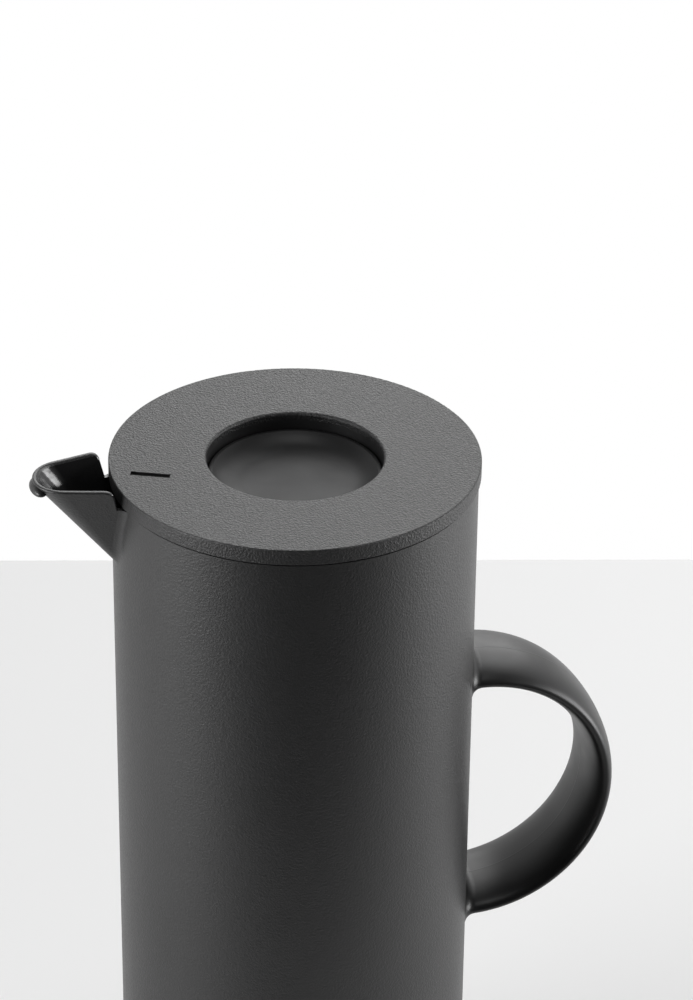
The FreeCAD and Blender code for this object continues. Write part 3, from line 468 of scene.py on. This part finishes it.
def stage_point(across, ahead, up, extra_turn=0):
    """Point of the stage: to the right of, behind and above the jug's foot as the camera sees it."""
    return turn_about_jug(VIEW_AZIMUTH + extra_turn) @ Vector((across, ahead, up))


def make_table():
    """Pale table against the white background, with a front part that the jug doesn't mirror."""
    surface = Surface("table")
    surface.set(base_color=(*TABLE_COLOUR, 1), roughness=TABLE_ROUGHNESS, specular_ior_level=TABLE_SPECULAR)
    half = TABLE_HALF_WIDTH
    for row in TABLE_PIECES:
        plan = [(-half, row["near"]), (half, row["near"]), (half, row["far"]), (-half, row["far"])]
        corners = [stage_point(across, ahead, 0, TABLE_TURN) for across, ahead in plan]
        mesh = bpy.data.meshes.new(row["name"])
        mesh.from_pydata(corners, [], [(0, 1, 2, 3)])
        mesh.materials.append(surface.material)
        piece = bpy.data.objects.new(row["name"], mesh)
        piece.visible_glossy = row["mirrored"]
        bpy.context.scene.collection.objects.link(piece)


SOFTBOXES = (
    {"name": "back_softbox", "across": 0.15, "ahead": 1.2, "up": 0.95, "size": 1.0, "watts": 9},
    {"name": "left_softbox", "across": -1.15, "ahead": -0.62, "up": 0.32, "size": 0.8, "watts": 18},
    {"name": "right_softbox", "across": 1.36, "ahead": 0.08, "up": 0.32, "size": 0.8, "watts": 19},
    {"name": "top_softbox", "across": 0.05, "ahead": 0, "up": 1.3, "size": 0.5, "watts": 3.5},
)
AIM_HEIGHT = 0.15


def make_softboxes():
    """Large square lamps that face the jug."""
    for box in SOFTBOXES:
        lamp = bpy.data.lights.new(box["name"], "AREA")
        lamp.shape = "SQUARE"
        lamp.size = box["size"]
        lamp.energy = box["watts"]
        place = stage_point(box["across"], box["ahead"], box["up"])
        aim = place - Vector((0, 0, AIM_HEIGHT))
        stand = bpy.data.objects.new(box["name"], lamp)
        stand.matrix_world = Matrix.Translation(place) @ aim.to_track_quat("Z", "Y").to_matrix().to_4x4()
        bpy.context.scene.collection.objects.link(stand)


AMBIENT = 0.17
DIM_ROOM = 0.03
# Range of the direction's reach towards the back, and upwards, over which the mirrored backdrop fades
BACKDROP_START = -0.6
BACKDROP_END = 0.15
BACKDROP_TOP_START = 0.55
BACKDROP_TOP_END = 0.85


def mirrored_strength(tree):
    """Strength of the mirrored background: white low behind the jug, dim elsewhere."""
    direction = tree.nodes.new("ShaderNodeTexCoord").outputs["Generated"]
    strength = tree.nodes.new("ShaderNodeMath")
    strength.operation = "MULTIPLY_ADD"
    sides = (
        (stage_point(0, 1, 0), BACKDROP_START, BACKDROP_END, 0, 1 - DIM_ROOM),
        (stage_point(0, 0, 1), BACKDROP_TOP_START, BACKDROP_TOP_END, 1, 0),
    )
    for index, (towards, start, end, low, high) in enumerate(sides):
        along = tree.nodes.new("ShaderNodeVectorMath")
        along.operation = "DOT_PRODUCT"
        along.inputs[1].default_value = towards
        tree.links.new(direction, along.inputs[0])
        share = tree.nodes.new("ShaderNodeMapRange")
        share.interpolation_type = "SMOOTHSTEP"
        for name, value in (("From Min", start), ("From Max", end), ("To Min", low), ("To Max", high)):
            share.inputs[name].default_value = value
        tree.links.new(along.outputs["Value"], share.inputs["Value"])
        tree.links.new(share.outputs["Result"], strength.inputs[index])
    strength.inputs[2].default_value = DIM_ROOM
    return strength.outputs[0]


def make_world():
    """White background, mirrored as a low white backdrop behind the jug and a dim room elsewhere."""
    world = bpy.data.worlds.new("studio")
    bpy.context.scene.world = world
    world.use_nodes = True
    tree = world.node_tree
    backgrounds = {"seen": tree.nodes["Background"]}
    for name in ("mirrored", "ambient"):
        backgrounds[name] = tree.nodes.new("ShaderNodeBackground")
    for background in backgrounds.values():
        background.inputs["Color"].default_value = (1, 1, 1, 1)
    backgrounds["seen"].inputs["Strength"].default_value = 1
    backgrounds["ambient"].inputs["Strength"].default_value = AMBIENT
    tree.links.new(mirrored_strength(tree), backgrounds["mirrored"].inputs["Strength"])
    path = tree.nodes.new("ShaderNodeLightPath")
    mirrored = tree.nodes.new("ShaderNodeMath")
    mirrored.operation = "MAXIMUM"
    tree.links.new(path.outputs["Is Glossy Ray"], mirrored.inputs[0])
    tree.links.new(path.outputs["Is Transmission Ray"], mirrored.inputs[1])
    lit = backgrounds["ambient"].outputs[0]
    for chosen, name in ((mirrored.outputs[0], "mirrored"), (path.outputs["Is Camera Ray"], "seen")):
        mix = tree.nodes.new("ShaderNodeMixShader")
        tree.links.new(chosen, mix.inputs["Fac"])
        tree.links.new(lit, mix.inputs[1])
        tree.links.new(backgrounds[name].outputs[0], mix.inputs[2])
        lit = mix.outputs[0]
    tree.links.new(lit, tree.nodes["World Output"].inputs["Surface"])


bpy.context.scene.view_settings.view_transform = "Standard"
make_camera()
dress_nodes()
make_spring()
make_table()
make_softboxes()
make_world()
